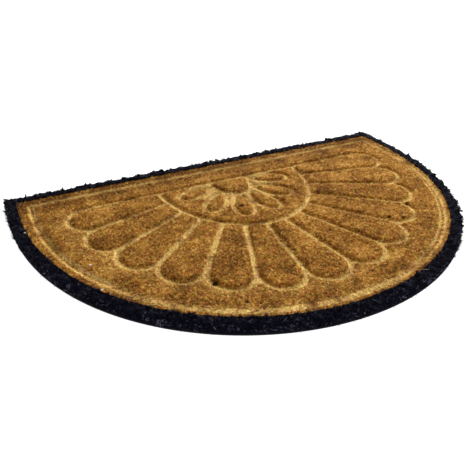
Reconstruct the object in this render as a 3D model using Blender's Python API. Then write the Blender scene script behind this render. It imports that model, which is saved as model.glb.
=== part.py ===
"""Half-round coir doormat: natural coir with a pressed fan, a black coir border and a thin black backing.

Metres, +Z up. The mat lies on z = 0 with its straight edge towards +Y.
The origin is under the middle of its box.
"""

from math import cos, hypot, pi, sin

import bmesh
import bpy
import numpy as np
from mathutils import Vector
from mathutils.geometry import delaunay_2d_cdt

# The whole mat
HALF_WIDTH = 0.300
DEPTH = 0.400
BACK_Y = DEPTH / 2
FULLNESS = 0.82  # power of the sine that makes the front bow fuller than an ellipse
CORNER_RADIUS = 0.0050
GAP = 0.0003  # left between pieces that touch

# Layers, from the floor up
BACKING_THICKNESS = 0.0020
PILE_FOOT_Z = BACKING_THICKNESS + GAP
FIELD_TOP_Z = 0.0115
BORDER_TOP_Z = 0.0120

# Black border, seen in section
BORDER_WIDTH = 0.0138
BORDER_BACK_EXTRA = 0.0013  # wider by this along the straight edge, narrower by it at the front
BORDER_FOOT_INSET = 0.0004  # the pile starts this far inside the backing's edge
BORDER_INNER_RADIUS = 0.0015  # of its two inner corners
BORDER_ROUNDING = 0.0018

# Pressed grooves, which slope down from both sides to their middle line
GROOVE_HALF_WIDTH = 0.0062
GROOVE_DEPTH = 0.0030
SLOPE_REACH = 0.95 * GROOVE_HALF_WIDTH  # a slope ends here, so that no point beside a bend is pressed

# Groove that follows the mat's rim
RIM_MIDDLE_X = 0.0025
RIM_HALF_WIDTH = 0.2715
RIM_BACK_Y = BACK_Y - 0.0343
RIM_DEPTH = 0.3425
RIM_FULLNESS = 0.85

# Fan of long petals, with radii to the left, to the right and towards the front
FAN_BASE_Y = BACK_Y - 0.0735
FAN_PETALS = 13
FAN_ROOT = (0.105, 0.105, 0.140)
FAN_VALLEY = (0.208, 0.2165, 0.2495)
FAN_TIP = (0.2325, 0.243, 0.2745)

# Small rosette inside the fan: a half-round hub and teardrop petals
HUB = (0.031, 0.027, 0.049)
ROSE_PETALS = 6
ROSE_ROOT = (0.035, 0.031, 0.052)
ROSE_TIP = (0.087, 0.083, 0.117)
ROSE_HALF_WIDTH = 0.0160
TEARDROP_POINT = 0.6  # power that draws the inner end to a point

# How finely the lines are drawn
BOW_STEPS = 84
BACK_STEPS = 8
CORNER_STEPS = 4
RIM_STEPS = 120
ROOT_STEPS = 39
TIP_STEPS = 8
HUB_STEPS = 10
TEARDROP_STEPS = 16
STRAIGHT_STEP = 0.009
FILL_STEP = 0.030
LEAST_STRIP = 0.0007  # between a slope and the field's edge
MERGE_DISTANCE = 1e-5


def bow(middle_x, half_width, back_y, depth, fullness, steps):
    """Points of a curved front, from its right end to its left end."""
    line = []
    for i in range(steps + 1):
        turn = pi * i / steps
        x = middle_x + half_width * cos(turn)
        line.append(Vector((x, back_y - depth * max(0, sin(turn)) ** fullness)))
    return line


def straight(start, end):
    """Points of a straight line, evenly spaced."""
    steps = max(1, round((end - start).length / STRAIGHT_STEP))
    return [start.lerp(end, i / steps) for i in range(steps + 1)]


def on_fan(radii, angle):
    """The point at an angle on a half oval that hangs from the fan's base line."""
    left, right, front = radii
    across = right if cos(angle) > 0 else left
    return Vector((across * cos(angle), FAN_BASE_Y - front * sin(angle)))


def petal_tip(start, end, tip):
    """A round tip from one valley to the next, through the petal's furthest point."""
    middle = (start + end) / 2
    turns = [pi * i / TIP_STEPS for i in range(TIP_STEPS + 1)]
    return [middle - (end - start) / 2 * cos(a) + (tip - middle) * sin(a) for a in turns]


def teardrop(root, tip):
    """A closed teardrop with its point at the root."""
    along = tip - root
    across = along.orthogonal().normalized() * ROSE_HALF_WIDTH
    line = []
    for i in range(TEARDROP_STEPS + 1):
        turn = 2 * pi * i / TEARDROP_STEPS
        bulge = sin(turn) * sin(turn / 2) ** TEARDROP_POINT if 0 < i < TEARDROP_STEPS else 0
        line.append(root + along * (1 - cos(turn)) / 2 + across * bulge)
    return line


def groove_lines():
    """The middle line of every pressed groove."""
    rim = bow(RIM_MIDDLE_X, RIM_HALF_WIDTH, RIM_BACK_Y, RIM_DEPTH, RIM_FULLNESS, RIM_STEPS)
    lines = [rim, straight(rim[-1], rim[0])]
    hub = [on_fan(HUB, pi * i / HUB_STEPS) for i in range(HUB_STEPS + 1)]
    root = [on_fan(FAN_ROOT, pi * i / ROOT_STEPS) for i in range(ROOT_STEPS + 1)]
    base = [on_fan(FAN_VALLEY, pi), root[-1], hub[-1], hub[0], root[0], on_fan(FAN_VALLEY, 0)]
    lines += [straight(a, b) for a, b in zip(base, base[1:])]
    lines += [hub, root]
    petal = pi / FAN_PETALS
    for i in range(FAN_PETALS):
        valley = on_fan(FAN_VALLEY, i * petal)
        if i:
            lines.append(straight(on_fan(FAN_ROOT, i * petal), valley))
        tip = on_fan(FAN_TIP, (i + 0.5) * petal)
        lines.append(petal_tip(valley, on_fan(FAN_VALLEY, (i + 1) * petal), tip))
    for i in range(ROSE_PETALS):
        angle = pi * (i + 0.5) / ROSE_PETALS
        lines.append(teardrop(on_fan(ROSE_ROOT, angle), on_fan(ROSE_TIP, angle)))
    return lines


def rounded_corner(side):
    """Points of a rounded corner from the straight edge to the bow, with the way inwards at each."""
    slack = (CORNER_RADIUS - BORDER_INNER_RADIUS) / BORDER_WIDTH
    places = []
    for i in range(CORNER_STEPS + 1):
        turn = pi / 2 * (1 - i / CORNER_STEPS)
        short = Vector((1 - cos(turn), 1 - sin(turn)))
        here = Vector((HALF_WIDTH, BACK_Y)) - CORNER_RADIUS * short
        inwards = Vector((-1, -1)) + slack * short
        places.append((Vector((side * here.x, here.y)), Vector((side * inwards.x, inwards.y))))
    return places


def stations():
    """Points round the mat's edge with the way inwards at each."""
    fine = bow(0, HALF_WIDTH, BACK_Y, DEPTH, FULLNESS, BOW_STEPS)
    places = rounded_corner(1)
    for before, here, after in zip(fine, fine[1:], fine[2:]):
        run = (after - before).normalized()
        places.append((here, Vector((run.y, -run.x))))
    places += rounded_corner(-1)[::-1]
    for i in range(1, BACK_STEPS):
        places.append((fine[-1].lerp(fine[0], i / BACK_STEPS), Vector((0, -1))))
    return places


def inset(distance):
    """The mat's outline, moved inwards, and towards the front in the same measure."""
    forward = Vector((0, -BORDER_BACK_EXTRA * distance / BORDER_WIDTH))
    return [here + inwards * distance + forward for here, inwards in stations()]


def new_object(name, mesh, colour, roughness):
    """A sub-part with a material of its own."""
    material = bpy.data.materials.new(name)
    material.use_nodes = True
    shader = material.node_tree.nodes["Principled BSDF"]
    shader.inputs["Base Color"].default_value = (*colour, 1)
    shader.inputs["Roughness"].default_value = roughness
    shader.inputs["Metallic"].default_value = 0
    mesh.materials.append(material)
    piece = bpy.data.objects.new(name, mesh)
    bpy.context.collection.objects.link(piece)
    return piece


def facing_out(name, shape):
    """The finished mesh of a closed shape, with its faces turned outwards."""
    bmesh.ops.recalc_face_normals(shape, faces=shape.faces)
    if shape.calc_volume(signed=True) < 0:
        bmesh.ops.reverse_faces(shape, faces=shape.faces)
    mesh = bpy.data.meshes.new(name)
    shape.to_mesh(mesh)
    shape.free()
    return mesh


def lofted(name, rings, closed_section):
    """A mesh through rings of points, capped at both ends or joined from the last ring to the first."""
    shape = bmesh.new()
    loops = [[shape.verts.new(point) for point in ring] for ring in rings]
    pairs = list(zip(loops, loops[1:]))
    if closed_section:
        pairs.append((loops[-1], loops[0]))
    else:
        shape.faces.new(loops[0])
        shape.faces.new(loops[-1])
    for lower, upper in pairs:
        for i, corner in enumerate(lower):
            shape.faces.new((lower[i - 1], corner, upper[i], upper[i - 1]))
    return facing_out(name, shape)


def ring(distance, height):
    """The mat's outline at a height, moved inwards."""
    return [(point.x, point.y, height) for point in inset(distance)]


def backing():
    """Thin black sheet under both piles."""
    mesh = lofted("backing", [ring(0, 0), ring(0, BACKING_THICKNESS)], closed_section=False)
    return new_object("backing", mesh, (0.015, 0.015, 0.017), 0.75)


def coir_border():
    """Black pile round the edge, with a rounded outer shoulder."""
    side, top = BORDER_FOOT_INSET, BORDER_TOP_Z
    section = [(BORDER_WIDTH, PILE_FOOT_Z), (side, PILE_FOOT_Z), (side, top - BORDER_ROUNDING)]
    for angle in (pi / 6, pi / 3, pi / 2):
        out = BORDER_ROUNDING * (1 - cos(angle)), BORDER_ROUNDING * (1 - sin(angle))
        section.append((side + out[0], top - out[1]))
    section.append((BORDER_WIDTH, FIELD_TOP_Z))
    mesh = lofted("coir_border", [ring(*corner) for corner in section], closed_section=True)
    return new_object("coir_border", mesh, (0.012, 0.012, 0.016), 0.95)


def distance_to(line, points):
    """Distance from each point to a line of straight stretches."""
    line = np.array([tuple(p) for p in line])
    start, run = line[:-1], np.diff(line, axis=0)
    away = points[:, None, :] - start[None, :, :]
    share = np.clip((away * run).sum(2) / (run**2).sum(1), 0, 1)
    return np.linalg.norm(away - share[..., None] * run, axis=2).min(1)


def beside(line, distance):
    """Points on both sides of a groove's middle line, one pair for each stretch of it."""
    sides = []
    for before, after in zip(line, line[1:]):
        run = (after - before).normalized()
        across = Vector((-run.y, run.x)) * distance
        middle = (before + after) / 2
        sides += [middle + across, middle - across]
    return sides


def apart(points, least):
    """The points that keep at least this distance from those before them."""
    kept = []
    for point in points:
        if all(hypot(point.x - other.x, point.y - other.y) > least for other in kept):
            kept.append(point)
    return kept


def off_lines(points, lines):
    """Distance from each point to the nearest of some lines."""
    spots = np.array([tuple(p) for p in points])
    return np.min([distance_to(line, spots) for line in lines], axis=0)


def inside(points, outline):
    """Whether each point lies inside an outline that bends one way only."""
    spots = np.array([tuple(p) for p in points])
    corners = np.array([tuple(p) for p in outline])
    run = np.roll(corners, -1, axis=0) - corners
    away = spots[:, None, :] - corners[None, :, :]
    return (run[:, 0] * away[..., 1] < run[:, 1] * away[..., 0]).all(axis=1)


def kept_clear(points, lines, least, edge, edge_least):
    """The points inside the edge that keep their distance from the lines and from the edge."""
    within = inside(points, edge)
    off = off_lines(points, lines)
    rim = off_lines(points, [edge + edge[:1]])
    return [p for p, a, b, c in zip(points, within, off, rim) if a and b > least and c > edge_least]


def field_points(lines, edge):
    """Points that carry the pressed top, besides the edge and the middle lines: slope tops and a grid."""
    tops = [p for line in lines for p in beside(line, GROOVE_HALF_WIDTH)]
    tops = kept_clear(tops, lines, SLOPE_REACH, edge, LEAST_STRIP)
    across = np.arange(-HALF_WIDTH, HALF_WIDTH, FILL_STEP)
    along = np.arange(-BACK_Y, BACK_Y, FILL_STEP)
    grid = [Vector((x, y)) for x in across for y in along]
    grid = kept_clear(grid, lines, 2 * GROOVE_HALF_WIDTH, edge, GROOVE_HALF_WIDTH)
    return apart(tops, GROOVE_HALF_WIDTH / 2) + grid


def coir_field():
    """Natural pile with the fan pressed into its top."""
    lines = groove_lines()
    edge = inset(BORDER_WIDTH + GAP)
    points = list(edge)
    links = [(i, (i + 1) % len(edge)) for i in range(len(edge))]
    for line in lines:
        first = len(points)
        points += line
        links += [(first + i, first + i + 1) for i in range(len(line) - 1)]
    points += field_points(lines, edge)

    flat, _, faces, *_ = delaunay_2d_cdt(points, links, [], 0, MERGE_DISTANCE)
    pressed = GROOVE_DEPTH * np.clip(1 - off_lines(flat, lines) / SLOPE_REACH, 0, 1)

    shape = bmesh.new()
    top = [shape.verts.new((p.x, p.y, FIELD_TOP_Z - d)) for p, d in zip(flat, pressed)]
    for face in faces:
        shape.faces.new([top[i] for i in face])
    bmesh.ops.remove_doubles(shape, verts=shape.verts, dist=MERGE_DISTANCE)
    rim_edges = [e for e in shape.edges if e.is_boundary]
    walls = bmesh.ops.extrude_edge_only(shape, edges=rim_edges)["geom"]
    for corner in [v for v in walls if isinstance(v, bmesh.types.BMVert)]:
        corner.co.z = PILE_FOOT_Z
    foot = [e for e in walls if isinstance(e, bmesh.types.BMEdge) and e.is_boundary]
    bmesh.ops.contextual_create(shape, geom=foot)
    return new_object("coir_field", facing_out("coir_field", shape), (0.40, 0.22, 0.075), 0.9)


def main():
    for old in list(bpy.data.objects):
        bpy.data.objects.remove(old)
    backing()
    coir_border()
    coir_field()


main()
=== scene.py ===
"""Looks of a half-round coir doormat, laid out as an add-on and run as a script.

Natural coir with a pressed fan, a black coir border and a thin black backing.
Metres, +Z up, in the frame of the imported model: the straight edge lies towards +Y.
"""

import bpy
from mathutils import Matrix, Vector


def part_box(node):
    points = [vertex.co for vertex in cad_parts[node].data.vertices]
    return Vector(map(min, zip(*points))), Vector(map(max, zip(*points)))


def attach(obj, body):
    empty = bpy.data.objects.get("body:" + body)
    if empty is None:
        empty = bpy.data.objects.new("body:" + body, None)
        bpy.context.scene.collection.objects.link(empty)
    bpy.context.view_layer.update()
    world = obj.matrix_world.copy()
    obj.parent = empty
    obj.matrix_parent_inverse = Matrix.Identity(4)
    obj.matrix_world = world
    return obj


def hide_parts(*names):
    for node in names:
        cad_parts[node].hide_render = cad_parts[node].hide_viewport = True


bl_info = {
    "name": "Half-round coir doormat",
    "version": (1, 0, 0),
    "blender": (4, 5, 0),
    "location": "3D View > Sidebar > Doormat",
    "description": "Builds the coir pile, the black border, the backing and the studio of a doormat",
    "category": "Object",
}

from math import cos, pi, radians, sin

import bmesh
import bpy
import numpy as np
from bpy.props import FloatProperty, FloatVectorProperty, IntProperty, PointerProperty
from mathutils import Matrix, Vector, noise

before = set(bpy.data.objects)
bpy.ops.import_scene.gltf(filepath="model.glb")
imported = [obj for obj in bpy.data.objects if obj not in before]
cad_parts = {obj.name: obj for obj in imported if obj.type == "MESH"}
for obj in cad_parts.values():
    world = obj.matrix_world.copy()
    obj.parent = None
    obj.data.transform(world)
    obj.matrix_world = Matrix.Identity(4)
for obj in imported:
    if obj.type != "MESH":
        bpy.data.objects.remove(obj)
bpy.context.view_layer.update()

# The mat's sizes, read from the frame
MAT_LOW, MAT_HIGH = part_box("backing")
FIELD_LOW, FIELD_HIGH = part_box("coir_field")
BORDER_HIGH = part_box("coir_border")[1]
HALF_WIDTH = MAT_HIGH[0]
BACK_Y = MAT_HIGH[1]
DEPTH = MAT_HIGH[1] - MAT_LOW[1]
BACKING_TOP_Z = MAT_HIGH[2]
PILE_FOOT_Z = FIELD_LOW[2]
FIELD_TOP_Z = FIELD_HIGH[2]
BORDER_TOP_Z = BORDER_HIGH[2]
GAP = PILE_FOOT_Z - BACKING_TOP_Z
BORDER_FOOT_INSET = HALF_WIDTH - BORDER_HIGH[0]
FIELD_INSET = HALF_WIDTH - FIELD_HIGH[0]
BORDER_WIDTH = FIELD_INSET - GAP
EDGE_ROUNDING = 0.00015
BORDER_BACK_EXTRA = 0.0013  # wider by this along the straight edge, narrower by it at the front
BORDER_INNER_RADIUS = 0.0015
CORNER_RADIUS = 0.0050
FULLNESS = 0.82  # power of the sine that makes the front bow fuller than an ellipse

# Middle lines of the pressed grooves, as the solids have them
RIM_MIDDLE_X = 0.0025
RIM_HALF_WIDTH = 0.2715
RIM_BACK_Y = BACK_Y - 0.0343
RIM_DEPTH = 0.3425
RIM_FULLNESS = 0.85
FAN_BASE_Y = BACK_Y - 0.0735
FAN_ROOT = (0.105, 0.105, 0.140)
FAN_VALLEY = (0.208, 0.2165, 0.2495)
FAN_TIP = (0.2325, 0.243, 0.2745)
HUB = (0.031, 0.027, 0.049)
ROSE_ROOT = (0.035, 0.031, 0.052)
ROSE_TIP = (0.087, 0.083, 0.117)
ROSE_HALF_WIDTH = 0.0160
TEARDROP_POINT = 0.6

# Small marks on this mat, by their places
KNOTS = (  # dark spots: place across, place along, radius
    (-0.0215, 0.0385, 0.0030), (-0.1185, -0.0985, 0.0034), (0.1720, -0.0515, 0.0022),
    (0.1265, -0.0705, 0.0022), (0.1400, -0.0800, 0.0020), (-0.0940, -0.0800, 0.0016),
    (-0.1040, -0.1420, 0.0018),
)
PITH = (  # pale crumbs: middle and radius
    (-0.2817, 0.0880, 0.0135, 0.0010), (-0.2250, -0.0143, 0.0122, 0.0013),
    (-0.2230, -0.0655, 0.0135, 0.0012), (0.0170, -0.1800, 0.0135, 0.0007),
)
PALE_HAIRS = (  # from one end to the other
    ((0.0742, -0.1797, 0.0150), (0.0786, -0.1825, 0.0155)),
    ((-0.2050, -0.0880, 0.0135), (-0.2010, -0.0930, 0.0145)),
)
BLACK_HAIRS = (
    ((-0.2640, -0.0060, 0.0030), (-0.2735, -0.0125, 0.0030)),
    ((-0.2150, -0.0950, 0.0035), (-0.2210, -0.0995, 0.0020)),
    ((-0.0800, -0.1860, 0.0040), (-0.0750, -0.1930, 0.0012)),
    ((-0.0300, -0.1960, 0.0040), (-0.0230, -0.2040, 0.0012)),
    ((0.0800, -0.1890, 0.0060), (0.0920, -0.1990, 0.0040)),
    ((0.1390, -0.1590, 0.0110), (0.1520, -0.1690, 0.0130)),
    ((0.2720, -0.0200, 0.0120), (0.2840, -0.0260, 0.0150)),
    ((0.2970, 0.1160, 0.0120), (0.3060, 0.1240, 0.0140)),
)
CORNER_TUFT = (
    ((-0.2975, 0.1895, 0.0095), (-0.3015, 0.1910, 0.0165)),
    ((-0.2970, 0.1930, 0.0095), (-0.2995, 0.1955, 0.0155)),
)
CRUMB_SCALE = (1.3, 0.9, 0.7, 1)
PALE_THICKNESS = 0.0003
BLACK_THICKNESS = 0.00025
TUFT_THICKNESS = 0.0022
KNOT_CORE, KNOT_EDGE = 0.5, 1.3  # a dark spot fades between these shares of its radius

# Relief and paleness of the field
FIELD_LUMPS = ((0.0045, 3, 0.6), (0.0022, 7, 0.4))  # spacing, seed and share of each unevenness
SWELL_SIZE, SWELL_SEED, SWELL_SHARE = 0.040, 11, 0.3
PRESSED_SMOOTH = 0.6  # how much less uneven a groove's floor is
SLUMP_WIDTH = 0.010  # of the strip that sinks beside the straight border
FRONT_LEAN = 0.35  # the front's pale line reaches further along the left of the bow
FRONT_FROM, FRONT_TO = 0.10, 0.17
FRONT_PALE = 0.85
RIM_FRONT_LOSS = 0.85  # how much shallower the rim groove is along the front
RAIL_FRONT_LOSS = 0.8  # how much less pale the rails are along the front
RAIL_CORE = 0.3  # share of a rail's reach that is palest
WEB_PALE = 0.85
# Painted light: the halo round the fan fades in towards the left, brightening the side further from the key
# light
HALO_FROM, HALO_TO = -0.20, 0.15  # distances to the left of the middle over which the halo grows
ROSE_LOSS = 0.3  # how much less pale the grooves of the rosette are

# Section and relief of the border
TOP_SUNK = 0.0008  # the matted ground lies this far below the border's top
WALL_STEPS = 4
SHOULDER_STEPS = 4
TOP_STEPS = 8
KNOB_CORE, KNOB_EDGE = 0.05, 0.75
KNOB_LEVEL = 0.35  # the ground stands out where a knob's share is above this, and sinks below it
BARE_BELOW, BARE_ABOVE = 0.002, 0.001  # the knobs fade in from below to above the bare height
TOP_DARK_FROM, TOP_DARK_TO = 0.0085, 0.0115  # heights above the floor
SHOULDER_TILT = 0.2  # wisps grow where the surface's normal leans sideways by more than this

# Fibres
SECTION = [2 * pi * k / 3 for k in range(3)]  # directions of the corners of a fibre's section
LOWEST_FIBRE = 0.0002  # no fibre reaches below this height above the floor
SHORTEST_SHARE = 0.25
TUFT_MIDDLE = 0.45  # nearer to a tuft's middle the fibres are longer, further off shorter
LEAST_WIDTH, MOST_WIDTH = 0.6, 1.4
LYING_FLAT = (1, 1, 0.25)

# Colour of natural and dyed fibre
FLECK_SCALE, PATCH_SCALE, HUE_SCALE, KNOT_SCALE = 330.0, 45.0, 170.0, 24.0
GROUND_SCALE, GRAIN_SCALE, STAIN_SCALE, WEAR_SCALE = 1400.0, 700.0, 400.0, 60.0
KNOT_REACH = 0.035
OWN_WEIGHT, FLECK_WEIGHT, PATCH_WEIGHT, TIP_WEIGHT = 0.85, 1.40, 0.80, 0.45
TONE_OFFSET = 1.25
KNOT_WEIGHT = 0.9
WORN_OFFSET, WORN_WEIGHT = -0.55, 2.5
FADED_OFFSET, FADED_WEIGHT = -0.7, 3.4
HUE_LOW, HUE_SPREAD = 0.460, 0.08
# BURNT also sets the colour that the painted shadow beside the straight border leans towards
BURNT, STAINED, DUSTY = 0.3, 0.6, 3.0  # brightness of dark spots, of stains and of worn rubber
BRISTLE_RARITY, CURL_RARITY = 2.5, 1.6
GROUND_SHEEN, FIBRE_SHEEN = (0.95, 0.05), (0.85, 0.06)  # roughness and specular level
DYED_GROUND_SHEEN, DYED_SHEEN = (0.95, 0.03), (0.75, 0.08)

# Studio
FLOOR_HALF = 6.0
FLOOR_Z = -0.0001
FLOOR_COLOUR = (0.9, 0.9, 0.9, 1)
FLOOR_GLOW = 0.8
KEY_SIZE, KEY_PLACE = 0.9, (0.85, 1.05, 0.72)
FILL_SIZE, FILL_PLACE = 1.2, (0.9, -1.3, 0.9)
CAMERA_TARGET = (-0.0543, -0.0095, 0.0005)
WHITE = (1, 1, 1, 1)

# How finely curves and surfaces are drawn
BOW_STEPS = 400
CURVE_STEPS = 48
TIP_STEPS = 12
CORNER_STEPS = 6
CORNER_RUN = 0.020  # other points of the outline keep this far from its two corners
CHUNK = 4000  # points measured at a time
RIM_LINES = 2  # the first lines of groove_lines belong to the rim
SPACING = 0.002  # of the outline's points along the straight edge


def a_length(name, description, default):
    """A length among the sizes, in metres."""
    return FloatProperty(
        name=name, description=description, default=default, unit="LENGTH", precision=5)


def a_shift(name, description, default):
    """A shift across and along the mat, in metres."""
    return FloatVectorProperty(
        name=name, description=description, default=default, size=2, unit="LENGTH", precision=5)


def a_density(name, description, default):
    """A number of fibres for each square metre."""
    return FloatProperty(name=name, description=description, default=default)


def a_share(name, description, default):
    """A share from 0 to 1."""
    return FloatProperty(name=name, description=description, default=default, min=0, max=1)


def a_colour(name, description, default):
    """A colour of a fibre or a sheet."""
    return FloatVectorProperty(
        name=name, description=description, default=default, subtype="COLOR")


class FieldSizes(bpy.types.PropertyGroup):
    """Sizes of the natural coir field."""

    petals: IntProperty(
        name="Fan petals", description="Long petals of the pressed fan", default=13, min=3)
    rose_petals: IntProperty(
        name="Rosette petals", description="Teardrops inside the fan", default=6, min=3)
    mesh_step: a_length("Mesh step", "Spacing of the points that carry the relief", 0.0016)
    groove_floor: a_length("Groove floor", "Half the width of a groove's flat floor", 0.0016)
    groove_reach: a_length(
        "Groove reach", "Distance from a groove's middle to the top of its slope", 0.0068)
    groove_depth: a_length("Groove depth", "How far the pile is pressed down in a groove", 0.0034)
    fibre_rise: a_length("Fibre rise", "How far the matted ground lies below the fibre tips", 0.0008)
    lump_height: a_length("Lump height", "Unevenness of the matted ground", 0.0005)
    stub_density: a_density("Stub density", "Cut fibre ends for each square metre and layer", 255000)
    stub_length: a_length("Stub length", "Length of a cut fibre end", 0.0026)
    stub_width: a_length("Stub width", "Thickness of a cut fibre end", 0.00075)
    strand_density: a_density("Strand density", "Lying fibres for each square metre", 70000)
    strand_length: a_length("Strand length", "Length of a lying fibre", 0.0050)
    strand_width: a_length("Strand width", "Thickness of a lying fibre", 0.00060)
    tuft_size: a_length("Tuft size", "Spacing of the tufts that lean together", 0.0026)
    fan_pale_floor: a_length(
        "Fan pale floor", "Half the width of the palest line in a fan groove", 0.0016)
    fan_pale_reach: a_length("Fan pale reach", "Where a fan groove's paleness ends", 0.0040)
    # The halo round the fan is faded in towards the left as painted light on the side further from the key
    # light
    halo_reach: a_length("Halo reach", "How far the paler pile goes round the fan", 0.0280)
    halo_strength: a_share("Halo strength", "How pale the pile is round the fan", 0.14)
    rim_share: a_share(
        "Rim share", "Depth of the rim groove, as a share of the other grooves' depth", 0.70)
    rail_apart: a_length(
        "Rail distance", "From the rim groove's middle to the pale rail on each side", 0.0030)
    rail_reach: a_length("Rail reach", "Where a pale rail of the rim groove ends", 0.0023)
    rail_strength: a_share("Rail strength", "How pale the rails are", 1.0)
    web_floor: a_length(
        "Web floor", "Width of the pale web between the teardrops, from the hub", 0.0220)
    web_reach: a_length("Web reach", "Where the pale web ends", 0.0460)
    back_slump: a_length("Back slump", "How far the pile sinks beside the straight border", 0.0010)
    # Painted shadow: the pile is darkened towards the straight edge, where the higher black border shades it
    # from the key light behind
    back_painted_shadow: a_share("Dark back", "How much darker the pile is beside the straight border", 0.20)
    front_pale_floor: a_length(
        "Front pale floor", "Half the width of the palest line along the front", 0.0030)
    front_pale_reach: a_length("Front pale reach", "Where the paleness along the front ends", 0.0045)
    # The pale lines along the front and in the fan are moved off their grooves' middles onto the wall that
    # faces the key light: the pressed fibre's own paleness, with a painted highlight on the lit wall
    front_highlight_aside: a_shift(
        "Front pale aside",
        "From the rim groove's middle to the pale line of the front", (-0.0020, -0.0028))
    fan_highlight_aside: a_shift(
        "Fan pale aside", "From a fan groove's middle to the middle of its pale line", (-0.0018, 0.0))
    knot_depth: a_length("Knot depth", "How deep a dark spot lies", 0.0015)


class BorderSizes(bpy.types.PropertyGroup):
    """Sizes of the black coir border."""

    tuft_size: a_length("Tuft size", "Spacing of the black tufts", 0.0052)
    bare_height: a_length("Bare height", "Height above the floor up to which no bristle grows", 0.0045)
    rounding: a_length("Rounding", "Radius of the outer shoulder", 0.0018)
    knob_height: a_length("Knob height", "How far the knobs of the black ground stand out", 0.0026)
    knob_size: a_length("Knob size", "Spacing of the knobs of the black ground", 0.0058)
    lock_density: a_density("Lock density", "Small locks of fibre for each square metre", 90000)
    lock_length: a_length("Lock length", "Length of a lock", 0.0034)
    lock_width: a_length("Lock width", "Width of a lock", 0.0017)
    wisp_height: a_length("Wisp height", "Height above the floor from which wisps stick out", 0.0085)
    wisp_density: a_density("Wisp density", "Wisps on the shoulder for each square metre", 120000)
    wisp_length: a_length("Wisp length", "Length of a wisp on the shoulder", 0.0050)
    wisp_width: a_length("Wisp width", "Width of a wisp on the shoulder", 0.0019)
    top_dark: a_share("Dark top", "How much darker the fibres of the top are", 0.8)
    fringe_reach: a_length(
        "Fringe reach", "Width of the strip beside the field on which a fringe stands", 0.0030)
    fringe_length: a_length("Fringe length", "Length of a lock of the fringe", 0.0046)
    fringe_density: a_density(
        "Fringe density", "Locks of the fringe for each square metre, along the straight edge", 220000)
    fringe_share: a_share("Fringe share", "Share of that density along the bow", 0.25)
    curl_density: a_density(
        "Curl density", "Longer pale curls on the border for each square metre", 22000)
    curl_length: a_length("Curl length", "Length of a curl", 0.0048)
    curl_width: a_length("Curl width", "Thickness of a curl", 0.0006)
    bristle_density: a_density("Bristle density", "Cut bristles for each square metre", 750000)
    bristle_length: a_length("Bristle length", "Length of a cut bristle", 0.0027)
    bristle_width: a_length("Bristle width", "Thickness of a cut bristle", 0.0006)


class CoirColours(bpy.types.PropertyGroup):
    """Colours of the fibres and of the backing."""

    dark: a_colour("Dark fibre", "Darkest natural fibre", (0.105, 0.039, 0.009))
    middle: a_colour("Middle fibre", "Commonest natural fibre", (0.440, 0.190, 0.024))
    light: a_colour("Light fibre", "Palest natural fibre", (0.84, 0.57, 0.18))
    # The pressed colour is also laid on as painted highlight on lit groove walls and as painted light in the
    # halo round the fan
    pressed: a_colour("Pressed fibre", "Natural fibre pressed flat in a groove", (0.75, 0.52, 0.175))
    black: a_colour("Black fibre", "Dyed fibre of the border", (0.0028, 0.0028, 0.0080))
    faded: a_colour("Faded black fibre", "Palest dyed fibre of the border", (0.190, 0.185, 0.260))
    pith: a_colour("Pith", "Pale crumbs and stray fibres", (0.95, 0.88, 0.76))
    hair: a_colour("Stray black fibre", "Black fibres that lie on the floor", (0.012, 0.012, 0.016))
    rubber: a_colour("Backing", "Black backing sheet", (0.004, 0.004, 0.006))


class StudioSettings(bpy.types.PropertyGroup):
    """Camera, light and floor."""

    azimuth: FloatProperty(
        name="View azimuth", description="Turn of the view from +Y towards +X",
        default=radians(24.617), subtype="ANGLE")
    elevation: FloatProperty(
        name="View elevation", description="How steeply the camera looks down",
        default=radians(30.445), subtype="ANGLE")
    roll: FloatProperty(
        name="View roll", description="Turn of the camera about its own axis",
        default=radians(-1.284), subtype="ANGLE")
    distance: FloatProperty(
        name="View distance", description="From the camera to its target",
        default=0.5715, unit="LENGTH")
    lens: FloatProperty(
        name="Lens", description="Focal length in millimetres on a 36 mm sensor", default=36.43)
    key: FloatProperty(
        name="Key light", description="Power of the large light behind and to the right, in watts",
        default=48.0)
    fill: FloatProperty(
        name="Fill light", description="Power of the weak light in front and to the right, in watts",
        default=8.0)
    sky: FloatProperty(
        name="Sky light", description="Strength of the even light from all round", default=0.50)


def bow(middle_x, half_width, back_y, depth, fullness, steps):
    """Points of a curved front, from its right end to its left end."""
    turn = pi * np.arange(steps + 1) / steps
    rise = np.clip(np.sin(turn), 0, 1) ** fullness
    return np.stack([middle_x + half_width * np.cos(turn), back_y - depth * rise], axis=1)


def on_fan(radii, angle):
    """The point at an angle on a half oval that hangs from the fan's base line."""
    left, right, front = radii
    across = right if cos(angle) > 0 else left
    return np.array([across * cos(angle), FAN_BASE_Y - front * sin(angle)])


def half_oval(radii):
    """Points of a half oval that hangs from the fan's base line."""
    return np.array([on_fan(radii, pi * i / CURVE_STEPS) for i in range(CURVE_STEPS + 1)])


def petal_tip(start, end, tip):
    """A round tip from one valley to the next, through the petal's furthest point."""
    middle = (start + end) / 2
    turn = (pi * np.arange(TIP_STEPS + 1) / TIP_STEPS)[:, None]
    return middle - (end - start) / 2 * np.cos(turn) + (tip - middle) * np.sin(turn)


def teardrop(root, tip):
    """A closed teardrop with its point at the root."""
    along = tip - root
    across = np.array([-along[1], along[0]]) / np.linalg.norm(along) * ROSE_HALF_WIDTH
    turn = (2 * pi * np.arange(TIP_STEPS * 2 + 1) / (TIP_STEPS * 2))[:, None]
    bulge = np.sin(turn) * np.clip(np.sin(turn / 2), 0, 1) ** TEARDROP_POINT
    return root + along * (1 - np.cos(turn)) / 2 + across * bulge


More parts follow.
